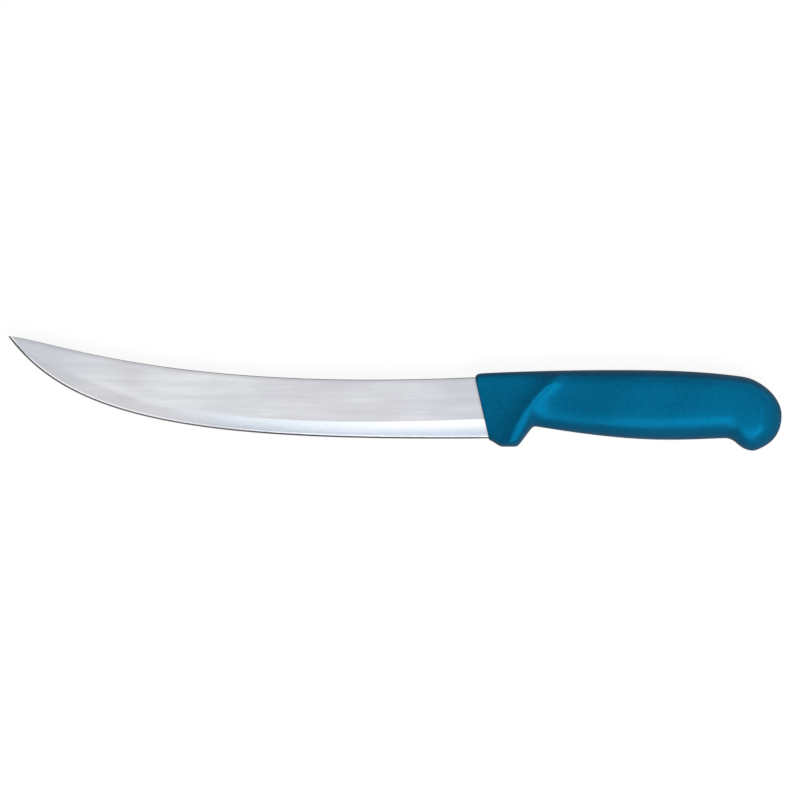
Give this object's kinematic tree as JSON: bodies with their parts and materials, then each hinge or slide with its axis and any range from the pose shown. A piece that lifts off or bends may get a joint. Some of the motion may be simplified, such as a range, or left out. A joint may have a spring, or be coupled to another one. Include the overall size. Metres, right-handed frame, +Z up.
{
  "type": "breaking knife",
  "caption": "Curved butcher's breaking knife with a hollow-backed upswept blade and a moulded plastic handle with a finger guard.",
  "frame": {"origin": "on the surface that the knife lies on, under the middle of its box", "axes": "+X along the knife from the tip of the blade to the butt of the handle, +Y from the cutting edge to the spine, +Z up out of the surface, through the thickness"},
  "size_m": [0.3368, 0.05, 0.0204],
  "materials": {
    "blade_steel": "satin ground along its length, with a brighter ground bevel",
    "handle_plastic": "blue moulded plastic with a fine matt grain"
  },
  "bodies": {
    "root": {"blade": "blade_steel", "handle": "handle_plastic"}
  },
  "joints": []
}
